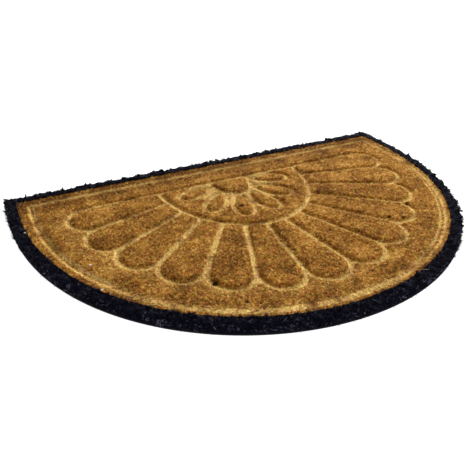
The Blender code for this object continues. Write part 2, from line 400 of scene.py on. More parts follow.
def fan_tips(sizes):
    """The round tips of the fan's petals, from the right end to the left end."""
    petal = pi / sizes.petals
    tips = []
    for i in range(sizes.petals):
        start, end = on_fan(FAN_VALLEY, i * petal), on_fan(FAN_VALLEY, (i + 1) * petal)
        tips.append(petal_tip(start, end, on_fan(FAN_TIP, (i + 0.5) * petal)))
    return tips


def front_share(points):
    """How far each place belongs to the front of the rim, from 0 to 1."""
    return ramp(-points[:, 1] - FRONT_LEAN * points[:, 0], FRONT_FROM, FRONT_TO)


def groove_lines(sizes):
    """The middle line of every pressed groove."""
    rim = bow(RIM_MIDDLE_X, RIM_HALF_WIDTH, RIM_BACK_Y, RIM_DEPTH, RIM_FULLNESS, CURVE_STEPS * 2)
    lines = [rim, rim[[-1, 0]]]
    lines.append(np.array([on_fan(FAN_VALLEY, pi), on_fan(FAN_VALLEY, 0)]))
    lines += [half_oval(HUB), half_oval(FAN_ROOT)]
    petal = pi / sizes.petals
    for i in range(1, sizes.petals):
        lines.append(np.array([on_fan(FAN_ROOT, i * petal), on_fan(FAN_VALLEY, i * petal)]))
    lines += fan_tips(sizes)
    for i in range(sizes.rose_petals):
        angle = pi * (i + 0.5) / sizes.rose_petals
        lines.append(teardrop(on_fan(ROSE_ROOT, angle), on_fan(ROSE_TIP, angle)))
    return lines


def distance_to(line, points):
    """Distance from each point to a line of straight stretches."""
    start, run = line[:-1], np.diff(line, axis=0)
    least = []
    for first in range(0, len(points), CHUNK):
        away = points[first:first + CHUNK, None, :] - start[None, :, :]
        share = np.clip((away * run).sum(2) / (run**2).sum(1), 0, 1)
        least.append(np.linalg.norm(away - share[..., None] * run, axis=2).min(1))
    return np.concatenate(least)


def rounded_corner(side):
    """Points of a rounded corner from the straight edge to the bow, with the way inwards at each."""
    slack = (CORNER_RADIUS - BORDER_INNER_RADIUS) / BORDER_WIDTH
    turn = np.linspace(pi / 2, 0, CORNER_STEPS + 1)
    short = np.stack([1 - np.cos(turn), 1 - np.sin(turn)], axis=1)
    return ([HALF_WIDTH, BACK_Y] - CORNER_RADIUS * short) * (side, 1), (slack * short - 1) * (side, 1)


def rim_stations():
    """Points round the mat's edge with the way inwards at each."""
    front = bow(0, HALF_WIDTH, BACK_Y, DEPTH, FULLNESS, BOW_STEPS)
    run = front[2:] - front[:-2]
    run /= np.linalg.norm(run, axis=1)[:, None]
    inwards = np.stack([run[:, 1], -run[:, 0]], axis=1)
    front = front[1:-1]
    clear = BACK_Y - front[:, 1] > CORNER_RUN
    front, inwards = front[clear], inwards[clear]
    reach = HALF_WIDTH - CORNER_RUN
    back_x = np.linspace(-reach, reach, round(2 * reach / SPACING))
    back = np.stack([back_x, np.full(len(back_x), BACK_Y)], axis=1)
    right, right_ways = rounded_corner(1)
    left, left_ways = rounded_corner(-1)
    places = np.concatenate([right, front, left[::-1], back])
    ways = np.concatenate([right_ways, inwards, left_ways[::-1], np.tile([0, -1], (len(back), 1))])
    return places, ways


def outline(inset):
    """The mat's outline, moved inwards, and towards the front in the same measure."""
    places, ways = rim_stations()
    return places + ways * inset + [0, -BORDER_BACK_EXTRA * inset / BORDER_WIDTH]


def area_of(loop):
    """Area inside a closed outline."""
    x, y = loop.T
    return abs((x * np.roll(y, -1) - y * np.roll(x, -1)).sum()) / 2


def inside(loop, points):
    """Whether each point lies inside an outline that bends one way only."""
    run = np.roll(loop, -1, axis=0) - loop
    within = []
    for first in range(0, len(points), CHUNK):
        away = points[first:first + CHUNK, None, :] - loop[None, :, :]
        within.append((run[:, 0] * away[..., 1] <= run[:, 1] * away[..., 0]).all(axis=1))
    return np.concatenate(within)


def enclosed(loop, points):
    """Whether each point lies inside a closed outline of any shape."""
    x, y = points.T
    within = np.zeros(len(points), dtype=bool)
    for (ax, ay), (bx, by) in zip(loop, np.roll(loop, -1, axis=0)):
        if ay != by:
            within ^= ((ay > y) != (by > y)) & (x < ax + (y - ay) * (bx - ax) / (by - ay))
    return within


def lumps(points, size, seed):
    """Smooth noise of about -1 to 1 at each point, with lumps of about this size."""
    return np.array([noise.noise(Vector(p) / size + Vector((seed, 0, 0))) for p in points.tolist()])


def ramp(value, low, high):
    """A smooth step from 0 at low to 1 at high."""
    t = np.clip((value - low) / (high - low), 0, 1)
    return t * t * (3 - 2 * t)


def near(lines, points, aside, floor, reach):
    """1 near the lines moved aside, and 0 beyond the reach."""
    off = np.min([distance_to(line + np.array(aside), points[:, :2]) for line in lines], axis=0)
    return 1 - ramp(off, floor, reach)


def knot_share(spots):
    """How far each place belongs to a dark spot, from 0 to 1."""
    shares = [
        1 - ramp(np.hypot(*(spots - (x, y)).T), KNOT_CORE * radius, KNOT_EDGE * radius)
        for x, y, radius in KNOTS]
    return np.max(shares, axis=0)


def knobs(points, size):
    """Round knobs of this spacing: 1 on a knob's top, 0 between the knobs."""
    nearest = [noise.voronoi(Vector(p) / size)[0][0] for p in points.tolist()]
    return 1 - ramp(np.array(nearest), KNOB_CORE, KNOB_EDGE)


def shape_mesh(name, shape):
    """The finished mesh of a closed shape, with its faces turned outwards."""
    bmesh.ops.recalc_face_normals(shape, faces=shape.faces)
    if shape.calc_volume(signed=True) < 0:
        bmesh.ops.reverse_faces(shape, faces=shape.faces)
    mesh = bpy.data.meshes.new(name)
    shape.to_mesh(mesh)
    shape.free()
    mesh.shade_smooth()
    return mesh


def add_object(name, mesh, material=None):
    """Puts a mesh into the scene as an object at the origin."""
    if material:
        mesh.materials.clear()
        mesh.materials.append(material)
    piece = bpy.data.objects.new(name, mesh)
    bpy.context.scene.collection.objects.link(piece)
    return piece


def write_values(mesh, name, values):
    """Stores one number for each point of a mesh."""
    attribute = mesh.attributes.get(name) or mesh.attributes.new(name, "FLOAT", "POINT")
    attribute.data.foreach_set("value", np.asarray(values, dtype=np.float32))


def points_of(mesh, name="co"):
    """The places of a mesh's points as an array, or another vector that each has."""
    flat = np.empty(len(mesh.vertices) * 3, dtype=np.float32)
    mesh.vertices.foreach_get(name, flat)
    return flat.reshape(-1, 3).astype(float)


def lofted(name, rings, closed_section):
    """A mesh through rings of points, capped at both ends or joined from the last ring to the first."""
    shape = bmesh.new()
    loops = [[shape.verts.new(point) for point in ring] for ring in rings]
    pairs = list(zip(loops, loops[1:]))
    if closed_section:
        pairs.append((loops[-1], loops[0]))
    else:
        shape.faces.new(loops[0])
        shape.faces.new(loops[-1])
    for lower, upper in pairs:
        for i, corner in enumerate(lower):
            shape.faces.new((lower[i - 1], corner, upper[i], upper[i - 1]))
    return shape_mesh(name, shape)


def lattice(loop, step):
    """A square lattice inside an outline, with its outermost points moved onto the outline."""
    low, high = loop.min(axis=0), loop.max(axis=0)
    counts = np.ceil((high - low) / step).astype(int) + 1
    x, y = np.meshgrid(*(np.linspace(low[k], high[k], counts[k]) for k in (0, 1)))
    spots = np.stack([x.ravel(), y.ravel()], axis=1)
    number = np.arange(len(spots)).reshape(counts[1], counts[0])
    quads = np.stack([number[:-1, :-1], number[:-1, 1:], number[1:, 1:], number[1:, :-1]], axis=-1)
    quads = quads.reshape(-1, 4)
    quads = quads[inside(loop, spots[quads].mean(axis=1))]
    sides = np.concatenate([quads[:, [k, (k + 1) % 4]] for k in range(4)])
    keys, uses = np.unique(np.sort(sides, axis=1), axis=0, return_counts=True)
    edge = np.unique(keys[uses == 1])
    closed = np.concatenate([loop, loop[:1]])
    start, run = closed[:-1], np.diff(closed, axis=0)
    away = spots[edge][:, None, :] - start[None, :, :]
    share = np.clip((away * run).sum(2) / (run**2).sum(1), 0, 1)
    feet = start + share[..., None] * run
    nearest = np.linalg.norm(feet - spots[edge][:, None, :], axis=2).argmin(axis=1)
    spots[edge] = feet[np.arange(len(edge)), nearest]
    used, quads = np.unique(quads, return_inverse=True)
    return spots[used], quads.reshape(-1, 4)


def slab(name, spots, heights, quads, foot_z):
    """A closed slab with a shaped top, plain walls and a flat foot."""
    sides = np.concatenate([quads[:, [k, (k + 1) % 4]] for k in range(4)]).tolist()
    known = {(a, b) for a, b in sides}
    following = {a: b for a, b in sides if (b, a) not in known}
    loop = [min(following)]
    while following[loop[-1]] != loop[0]:
        loop.append(following[loop[-1]])
    foot = {corner: len(spots) + i for i, corner in enumerate(loop)}
    corners = np.column_stack([spots, heights]).tolist()
    corners += [(*spots[i], foot_z) for i in loop]
    walls = [(following[a], a, foot[a], foot[following[a]]) for a in loop]
    mesh = bpy.data.meshes.new(name)
    mesh.from_pydata(corners, [], [*quads.tolist(), *walls, [foot[a] for a in reversed(loop)]])
    mesh.shade_smooth()
    mesh.set_sharp_from_angle(angle=radians(60))
    return mesh


def cut_fibre():
    """A straight fibre end, one unit long and one unit thick: a narrow three-sided spike."""
    sunk = 0.25
    shape = bmesh.new()
    bmesh.ops.create_cone(
        shape, cap_ends=True, segments=3, radius1=0.5, radius2=0, depth=1,
        matrix=Matrix.Translation((0, 0, 0.5 - sunk)))
    mesh = shape_mesh("cut fibre", shape)
    write_values(mesh, "tip", points_of(mesh)[:, 2] > 0.5)
    return add_object("cut fibre", mesh)


def bent_fibre():
    """A lying fibre along Z, one unit long and one unit thick, with a low arch."""
    steps, arch, least, taper, tip = 2, 1.1, 0.35, 0.15, 0.8
    rings = []
    for i in range(steps + 1):
        share = i / steps
        rise = arch * sin(pi * share)
        radius = 0.5 * (least + (1 - least) * sin(pi * (taper + (1 - 2 * taper) * share)))
        rings.append([(radius * cos(a) + rise, radius * sin(a), share - 0.5) for a in SECTION])
    mesh = lofted("bent fibre", rings, closed_section=False)
    write_values(mesh, "tip", np.full(len(mesh.vertices), tip))
    return add_object("bent fibre", mesh)


def lock_of_fibres():
    """A lock along Z, one unit long and about one unit wide: spikes that spread from one root."""
    spikes, spread, ring, sunk, radius, shortest, longer = 6, 0.28, 0.22, 0.15, 0.20, 0.8, 0.35
    shape = bmesh.new()
    for i in range(spikes):
        turn = 2 * pi * i / spikes
        way = Vector((spread * cos(turn), spread * sin(turn), 1))
        root = Vector((ring * cos(turn), ring * sin(turn), -sunk))
        place = Matrix.Translation(root + way / 2) @ way.to_track_quat("Z", "Y").to_matrix().to_4x4()
        bmesh.ops.create_cone(
            shape, cap_ends=True, segments=3, radius1=radius, radius2=0,
            depth=shortest + longer * (i % 3) / 2, matrix=place)
    mesh = shape_mesh("lock of fibres", shape)
    write_values(mesh, "tip", points_of(mesh)[:, 2] > 0.5)
    return add_object("lock of fibres", mesh)


def hairs(ends, thickness, shape=None):
    """Thin stray fibres, each a low arch from one end to the other, in a new shape or a given one."""
    shape = shape or bmesh.new()
    steps, bend, arch = 6, 0.12, 0.10
    for start, end in ends:
        start, end = Vector(start), Vector(end)
        aside = (end - start).cross(Vector((0, 0, 1))) * bend
        lift = Vector((0, 0, arch * (end - start).length))
        last = None
        for i in range(steps + 1):
            share = i / steps
            middle = start.lerp(end, share) + (aside + lift) * sin(pi * share)
            spread = [Vector((cos(a), sin(a), 0)) * thickness / 2 for a in SECTION]
            if abs(end.x - start.x) > abs(end.y - start.y):
                spread = [Vector((0, s.x, s.y)) for s in spread]
            else:
                spread = [Vector((s.x, 0, s.y)) for s in spread]
            here = [shape.verts.new(middle + s) for s in spread]
            if last:
                for k in range(3):
                    shape.faces.new((last[k - 1], last[k], here[k], here[k - 1]))
            if i in (0, steps):
                shape.faces.new(here)
            last = here
    return shape


class Nodes:
    """Short hand for building a node tree."""

    def __init__(self, tree):
        self.tree = tree
        self.count = 0

    def add(self, kind, inputs=None, **settings):
        """A node with its settings and with its inputs linked or set, by name or by number."""
        node = self.tree.nodes.new(kind)
        node.location = (220 * (self.count % 8), -220 * (self.count // 8))
        self.count += 1
        for name, value in settings.items():
            setattr(node, name, value)
        for name, value in (inputs or {}).items():
            socket = node.inputs[name]
            if isinstance(value, bpy.types.NodeSocket):
                self.tree.links.new(value, socket)
            else:
                socket.default_value = value
        return node

    def math(self, operation, *values, clamp=False):
        """The result of a Math node."""
        inputs = dict(enumerate(values))
        return self.add("ShaderNodeMath", inputs, operation=operation, use_clamp=clamp).outputs[0]

    def vector_math(self, operation, *values):
        """The result of a Vector Math node on two vectors."""
        return self.add("ShaderNodeVectorMath", dict(enumerate(values)), operation=operation).outputs[0]

    def scaled(self, vector, factor):
        """A vector times a number."""
        node = self.add("ShaderNodeVectorMath", {0: vector, "Scale": factor}, operation="SCALE")
        return node.outputs[0]

    def mixed(self, kind, factor, low, high):
        """A blend of two numbers, vectors or colours. The kind gives the sockets to use."""
        first, result = {"FLOAT": (2, 0), "VECTOR": (4, 1), "RGBA": (6, 2)}[kind]
        inputs = {"Factor": factor, first: low, first + 1: high}
        return self.add("ShaderNodeMix", inputs, data_type=kind).outputs[result]

    def random(self, low, high, seed):
        """A random number for each fibre."""
        inputs = {2: low, 3: high, "Seed": seed}
        return self.add("FunctionNodeRandomValue", inputs, data_type="FLOAT").outputs[1]

    def speckle(self, place, scale, detail):
        """Smooth noise at a place."""
        inputs = {"Vector": place, "Scale": scale, "Detail": detail}
        return self.add("ShaderNodeTexNoise", inputs).outputs[0]

    def combined(self, *numbers):
        """A vector made of numbers."""
        return self.add("ShaderNodeCombineXYZ", dict(enumerate(numbers))).outputs[0]

    def place(self):
        """The place on an object."""
        return self.add("ShaderNodeTexCoord").outputs["Object"]

    def stored(self, name):
        """A number stored in a mesh."""
        return self.add("ShaderNodeAttribute", attribute_name=name).outputs["Fac"]


def new_tree(name, kind, results, inputs):
    """A node tree with its outputs and inputs, each given as a type with its names, and its nodes."""
    tree = bpy.data.node_groups.new(name, kind)
    for way, groups in (("OUTPUT", results), ("INPUT", inputs)):
        for of_type, names in groups.items():
            for socket in names:
                tree.interface.new_socket(socket, in_out=way, socket_type="NodeSocket" + of_type)
    return tree, Nodes(tree)


def pile_tree():
    """Geometry Nodes that set fibres on a ground: they stand, lean or lie as its attributes say."""
    tree, n = new_tree("Coir pile", "GeometryNodeTree", {"Geometry": ["Geometry"]}, {
        "Geometry": ["Ground"], "Object": ["Fibre"], "Material": ["Material"], "Int": ["Seed"],
        "Float": [
            "Density", "Length", "Length spread", "Width", "Upright", "Outward", "Lean", "Tuft size",
            "Tuft height", "Tuft lean", "Comb", "Own tone", "Lift"]})
    given = n.add("NodeGroupInput").outputs

    def seed(step):
        """A seed of its own for each step that draws numbers."""
        return n.math("ADD", given["Seed"], step * 100)

    stand = n.add("GeometryNodeInputNamedAttribute", {"Name": "stand"}, data_type="FLOAT").outputs[0]
    lie = n.add("GeometryNodeInputNamedAttribute", {"Name": "lie"}, data_type="FLOAT").outputs[0]
    scatter = n.add("GeometryNodeDistributePointsOnFaces", {
        "Mesh": given["Ground"], "Density": n.math("MULTIPLY", given["Density"], stand),
        "Seed": given["Seed"]}).outputs
    tufts = n.add("ShaderNodeTexVoronoi", {
        "Vector": n.add("GeometryNodeInputPosition").outputs[0],
        "Scale": n.math("DIVIDE", 1, given["Tuft size"])}).outputs
    tuft_way = n.scaled(n.vector_math("SUBTRACT", tufts["Color"], (0.5, 0.5, 0.5)), given["Tuft lean"])
    random_way = n.add("FunctionNodeRandomValue", {
        "Min": (-1, -1, -1), "Max": (1, 1, 1), "Seed": seed(1)}, data_type="FLOAT_VECTOR").outputs[0]
    standing = n.vector_math(
        "ADD", n.scaled(scatter["Normal"], given["Outward"]),
        n.vector_math("ADD", n.scaled((0, 0, 1), given["Upright"]), n.scaled(random_way, given["Lean"])))
    standing = n.vector_math("ADD", standing, tuft_way)
    standing = n.vector_math("ADD", standing, n.scaled((0, -1, 0), given["Comb"]))
    flat_way = n.vector_math("MULTIPLY", random_way, LYING_FLAT)
    way = n.mixed("VECTOR", lie, standing, flat_way)
    turned = n.add("FunctionNodeAlignRotationToVector", {"Vector": way}, axis="Z").outputs[0]
    spin = n.add("FunctionNodeEulerToRotation", {0: n.combined(0, 0, n.random(-pi, pi, seed(2)))}).outputs[0]
    turned = n.add("FunctionNodeRotateRotation", {0: turned, 1: spin}, rotation_space="LOCAL").outputs[0]
    rise = n.math("MULTIPLY", n.math("SUBTRACT", TUFT_MIDDLE, tufts["Distance"]), given["Tuft height"])
    some = n.random(
        n.math("SUBTRACT", 1, given["Length spread"]), n.math("ADD", 1, given["Length spread"]), seed(3))
    length = n.math("MULTIPLY", given["Length"], n.math("MAXIMUM", n.math("ADD", some, rise), SHORTEST_SHARE))
    width = n.math("MULTIPLY", given["Width"], n.random(LEAST_WIDTH, MOST_WIDTH, seed(4)))
    placed = n.add("GeometryNodeSetPosition", {
        "Geometry": scatter["Points"], "Offset": n.scaled(scatter["Normal"], given["Lift"])}).outputs[0]
    copies = n.add("GeometryNodeInstanceOnPoints", {
        "Points": placed, "Rotation": turned, "Scale": n.combined(width, width, length),
        "Instance": n.add("GeometryNodeObjectInfo", {"Object": given["Fibre"]}).outputs["Geometry"]})
    of_tuft = n.add("ShaderNodeSeparateXYZ", {0: tufts["Color"]}).outputs[2]
    tone = n.mixed("FLOAT", given["Own tone"], of_tuft, n.random(0.0, 1.0, seed(5)))
    toned = n.add("GeometryNodeStoreNamedAttribute", {
        "Geometry": copies.outputs[0], "Name": "tone", "Value": tone}, data_type="FLOAT", domain="INSTANCE")
    real = n.add("GeometryNodeRealizeInstances", {"Geometry": toned.outputs[0]}).outputs[0]
    x, y, z = n.add("ShaderNodeSeparateXYZ", {0: n.add("GeometryNodeInputPosition").outputs[0]}).outputs
    lifted = n.add("GeometryNodeSetPosition", {
        "Geometry": real, "Position": n.combined(x, y, n.math("MAXIMUM", z, LOWEST_FIBRE))}).outputs[0]
    done = n.add("GeometryNodeSetMaterial", {"Geometry": lifted, "Material": given["Material"]}).outputs[0]
    n.add("NodeGroupOutput", {0: done})
    return tree


def grown(name, ground, values):
    """A plain mesh of the fibres that the shared tree sets on a ground."""
    tree = shared["tree"]
    carrier = add_object(name, ground.data.copy())
    modifier = carrier.modifiers.new("Coir pile", "NODES")
    modifier.node_group = tree
    for item in tree.interface.items_tree:
        if item.in_out == "INPUT" and item.name in values:
            modifier[item.identifier] = values[item.name]
    depsgraph = bpy.context.evaluated_depsgraph_get()
    mesh = bpy.data.meshes.new_from_object(carrier.evaluated_get(depsgraph))
    bpy.data.objects.remove(carrier)
    mesh.name = name
    return add_object(name, mesh)


def fibre_sizes(sizes, kind):
    """The density, length and width of a kind of fibre."""
    return {part: getattr(sizes, f"{kind}_{part.lower()}") for part in ("Density", "Length", "Width")}


def fleck_group():
    """Shared colour of flecked fibre: dark, middle and light by a tone, paler where it is pressed and darker
    by the knot share. The pressed share also carries painted highlight and painted light; the knot share
    carries dark spots and painted shadow.
    """
    tree, n = new_tree("Coir flecks", "ShaderNodeTree", {"Color": ["Color"], "Float": ["Height"]}, {
        "Float": ["Tone", "Tip", "Pressed and painted light share", "Knot and shade"], "Color": ["Dark", "Middle", "Light", "Pressed"]})
    given = n.add("NodeGroupInput").outputs
    place = n.place()
    flecks = n.speckle(place, FLECK_SCALE, 2.0)
    patches = n.speckle(place, PATCH_SCALE, 1.0)
    knots = n.add("ShaderNodeTexVoronoi", {"Vector": place, "Scale": KNOT_SCALE}).outputs["Distance"]
    knot_and_shade = n.math("ADD", n.math("LESS_THAN", knots, KNOT_REACH), given["Knot and shade"], clamp=True)
    tone = n.math("MULTIPLY", given["Tone"], OWN_WEIGHT)
    for part, weight in ((flecks, FLECK_WEIGHT), (patches, PATCH_WEIGHT), (given["Tip"], TIP_WEIGHT)):
        tone = n.math("ADD", tone, n.math("MULTIPLY", part, weight))
    tone = n.math("SUBTRACT", tone, TONE_OFFSET)
    tone = n.math("SUBTRACT", tone, n.math("MULTIPLY", knot_and_shade, KNOT_WEIGHT))
    low = n.math("MULTIPLY", tone, 2.0, clamp=True)
    high = n.math("MULTIPLY", n.math("SUBTRACT", tone, 0.5), 2.0, clamp=True)
    colour = n.mixed("RGBA", low, given["Dark"], given["Middle"])
    colour = n.mixed("RGBA", high, colour, given["Light"])
    worn = n.math("ADD", WORN_OFFSET, n.math("MULTIPLY", flecks, WORN_WEIGHT), clamp=True)
    faded = n.math("ADD", FADED_OFFSET, n.math("MULTIPLY", patches, FADED_WEIGHT))
    share = n.math("MULTIPLY", given["Pressed and painted light share"], n.math("MULTIPLY", worn, faded), clamp=True)
    colour = n.mixed("RGBA", share, colour, given["Pressed"])
    hue = n.math("ADD", HUE_LOW, n.math("MULTIPLY", n.speckle(place, HUE_SCALE, 3.0), HUE_SPREAD))
    colour = n.add("ShaderNodeHueSaturation", {"Hue": hue, "Color": colour}).outputs[0]
    # Dark spots, and the painted shadow beside the straight border, lean towards burnt dark
    colour = n.mixed("RGBA", given["Knot and shade"], colour, n.scaled(given["Dark"], BURNT))
    n.add("NodeGroupOutput", {0: colour, 1: flecks})
    return tree


def principled(name, roughness, specular):
    """A material, its Principled shader ready for its colour, and its nodes."""
    material = bpy.data.materials.new(name)
    material.use_nodes = True
    shader = material.node_tree.nodes["Principled BSDF"]
    shader.inputs["Roughness"].default_value = roughness
    shader.inputs["Specular IOR Level"].default_value = specular
    return material, shader, Nodes(material.node_tree)


def opaque(colour):
    """A colour with its alpha."""
    return (*colour, 1.0)


def coir_material(name, palette, fibre, roughness, specular, rarity=1):
    """Matt coir. A fibre's tone is its own, and on the ground it comes from fine noise.

    The higher the rarity, the fewer fibres are light."""
    material, shader, n = principled(name, roughness, specular)
    tone = n.stored("tone") if fibre else n.speckle(n.place(), GROUND_SCALE, 1.0)
    if rarity > 1:
        tone = n.math("POWER", tone, rarity)
    group = n.add("ShaderNodeGroup", node_tree=shared["flecks"])
    links = material.node_tree.links
    links.new(tone, group.inputs["Tone"])
    for value, socket in (("tip", "Tip"), ("pale", "Pressed and painted light share"), ("knot_and_shade", "Knot and shade")):
        links.new(n.stored(value), group.inputs[socket])
    for socket, colour in zip(("Dark", "Middle", "Light", "Pressed"), palette):
        group.inputs[socket].default_value = opaque(colour)
    links.new(group.outputs["Color"], shader.inputs["Base Color"])
    if not fibre:
        height = n.math("ADD", tone, group.outputs["Height"])
        bump = n.add("ShaderNodeBump", {"Height": height, "Distance": 0.0006, "Strength": 0.8})
        links.new(bump.outputs[0], shader.inputs["Normal"])
    return material


def pith_material(colour):
    """Dry matt fibre with faint stains."""
    material, shader, n = principled("stray fibre", roughness=0.8, specular=0.2)
    stained = tuple(STAINED * c for c in colour)
    mixed = n.mixed("RGBA", n.speckle(n.place(), STAIN_SCALE, 2.0), opaque(stained), opaque(colour))
    material.node_tree.links.new(mixed, shader.inputs["Base Color"])
    return material


def backing_material(rubber):
    """Matt black sheet with a fine pebbled grain."""
    material, shader, n = principled("black backing", roughness=0.8, specular=0.1)
    place = n.place()
    grain = n.add("ShaderNodeTexVoronoi", {"Vector": place, "Scale": GRAIN_SCALE}).outputs["Distance"]
    dusty = tuple(DUSTY * c for c in rubber)
    colour = n.mixed("RGBA", n.speckle(place, WEAR_SCALE, 4.0), opaque(rubber), opaque(dusty))
    links = material.node_tree.links
    links.new(colour, shader.inputs["Base Color"])
    bump = n.add("ShaderNodeBump", {"Height": grain, "Distance": 0.0003, "Strength": 0.5})
    links.new(bump.outputs[0], shader.inputs["Normal"])
    return material


# Things that several operators share, made once by main
shared = {}


class DOORMAT_OT_backing(bpy.types.Operator):
    """Builds the thin black backing sheet"""

    bl_idname = "doormat.backing"
    bl_label = "Backing sheet"

    def execute(self, context):
        section = [
            (EDGE_ROUNDING, 0), (0, EDGE_ROUNDING), (0, BACKING_TOP_Z - EDGE_ROUNDING),
            (EDGE_ROUNDING, BACKING_TOP_Z)]
        rings = [[(x, y, z) for x, y in outline(inset)] for inset, z in section]
        mesh = lofted("backing_sheet", rings, closed_section=False)
        mesh.set_sharp_from_angle(angle=radians(35))
        sheet = add_object("backing_sheet", mesh, backing_material(context.scene.doormat_colours.rubber))
        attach(sheet, "root")
        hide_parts("backing")
        area_of(outline(0))
        return {"FINISHED"}


class DOORMAT_OT_field(bpy.types.Operator):
    """Builds the natural coir field: its matted ground, cut fibre ends and lying fibres"""

    bl_idname = "doormat.field"
    bl_label = "Natural coir field"

    def execute(self, context):
        sizes, colours = context.scene.doormat_field, context.scene.doormat_colours
        palette = (colours.dark, colours.middle, colours.light, colours.pressed)
        ground_finish = coir_material("natural coir ground", palette, False, *GROUND_SHEEN)
        fibre_finish = coir_material("natural coir fibre", palette, True, *FIBRE_SHEEN)
        edge = outline(FIELD_INSET)
        spots, quads = lattice(edge, sizes.mesh_step)
        lines = groove_lines(sizes)
        rim, fan = lines[:RIM_LINES], lines[RIM_LINES:]
        slope = (0, 0), sizes.groove_floor, sizes.groove_reach
        rim_share = sizes.rim_share * (1 - RIM_FRONT_LOSS * front_share(spots))
        pressed = np.maximum(rim_share * near(rim, spots, *slope), near(fan, spots, *slope))
        flat = np.column_stack([spots, np.zeros(len(spots))])
        rough = sum(lumps(flat, size, seed) * share for size, seed, share in FIELD_LUMPS)
        swell = lumps(flat, SWELL_SIZE, SWELL_SEED)
        top = FIELD_TOP_Z - sizes.fibre_rise - sizes.groove_depth * pressed
        top += rough * sizes.lump_height * (1 - PRESSED_SMOOTH * pressed)
        top += SWELL_SHARE * sizes.lump_height * swell
        top -= sizes.knot_depth * knot_share(spots)
        back = edge[:, 1].max()
        top -= sizes.back_slump * ramp(spots[:, 1], back - SLUMP_WIDTH, back)
        mesh = slab("field_ground", spots, top, quads, PILE_FOOT_Z)
        points = points_of(mesh)
        places = points[:, :2]
        upper = points[:, 2] > PILE_FOOT_Z + GAP
        behind_fan = points[:, 1] > FAN_BASE_Y
        front = front_share(points)
        # The front's pale line sits on the rim groove's wall that faces the key light: pressed paleness with
        # a painted highlight
        wide = near(rim, points, sizes.front_highlight_aside, sizes.front_pale_floor, sizes.front_pale_reach)
        off = np.min([distance_to(line, places) for line in rim], axis=0)
        rails = 1 - ramp(abs(off - sizes.rail_apart), RAIL_CORE * sizes.rail_reach, sizes.rail_reach)
        rails *= 1 - RAIL_FRONT_LOSS * front
        web = WEB_PALE * (1 - ramp(distance_to(half_oval(HUB), places), sizes.web_floor, sizes.web_reach))
        for drop in [*lines[-sizes.rose_petals:], half_oval(HUB)]:
            web[enclosed(drop, places)] = 0
        web[behind_fan] = 0
        # Halo: a paler band of pile round the fan's tips, faded in towards the left as painted light on the
        # side further from the key light
        halo = sizes.halo_strength * near(fan, points, (0, 0), sizes.groove_reach, sizes.halo_reach)
        halo[behind_fan | enclosed(np.concatenate(fan_tips(sizes)), places)] = 0
        halo *= ramp(-points[:, 0], HALO_FROM, HALO_TO)
        # The fan's pale lines sit on each groove's wall that faces the key light: pressed paleness with a
        # painted highlight
        thin = near(fan, points, sizes.fan_highlight_aside, sizes.fan_pale_floor, sizes.fan_pale_reach)
        thin *= 1 - ROSE_LOSS * enclosed(half_oval(ROSE_TIP), places)
        # The pale share: the pressed fibre's own paleness in grooves, rails and web, with a painted highlight
        # on the lit groove walls and painted light in the halo on the left
        pale = np.max([FRONT_PALE * wide * front, sizes.rail_strength * rails, web, halo, thin], axis=0)
        # Painted shadow of the higher black border, darker towards the straight edge and kept off the rails
        painted_back_shadow = sizes.back_painted_shadow * ramp(points[:, 1], FAN_BASE_Y, RIM_BACK_Y) * (1 - rails)
        write_values(mesh, "lie", near(lines, points, *slope) * upper)
        write_values(mesh, "pale", pale * upper)
        # The knot share holds the dark spots and the painted shadow beside the straight border
        write_values(mesh, "knot_and_shade", np.maximum(knot_share(places), painted_back_shadow) * upper)
        write_values(mesh, "stand", upper * 1.0)
        ground = add_object("field_ground", mesh, ground_finish)
        growth = {
            "Fibre": shared["cut"], **fibre_sizes(sizes, "stub"), "Length spread": 0.3, "Upright": 0.5,
            "Outward": 0.5, "Lean": 0.45, "Tuft size": sizes.tuft_size, "Tuft height": 1.0,
            "Tuft lean": 1.6, "Comb": 0.35, "Own tone": 0.3, "Lift": 0.0, "Material": fibre_finish}
        layers = []
        for layer in (1, 2):
            growth["Seed"] = layer
            layers.append(grown(f"field_stubs_{layer}", ground, growth))
        growth.update({
            "Fibre": shared["bent"], **fibre_sizes(sizes, "strand"), "Upright": 0.0, "Outward": 0.0,
            "Lean": 1.0, "Lift": 0.0003, "Seed": 9})
        layers.append(grown("field_strands", ground, growth))
        for piece in [ground, *layers]:
            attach(piece, "root")
            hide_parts("coir_field")
        return {"FINISHED"}


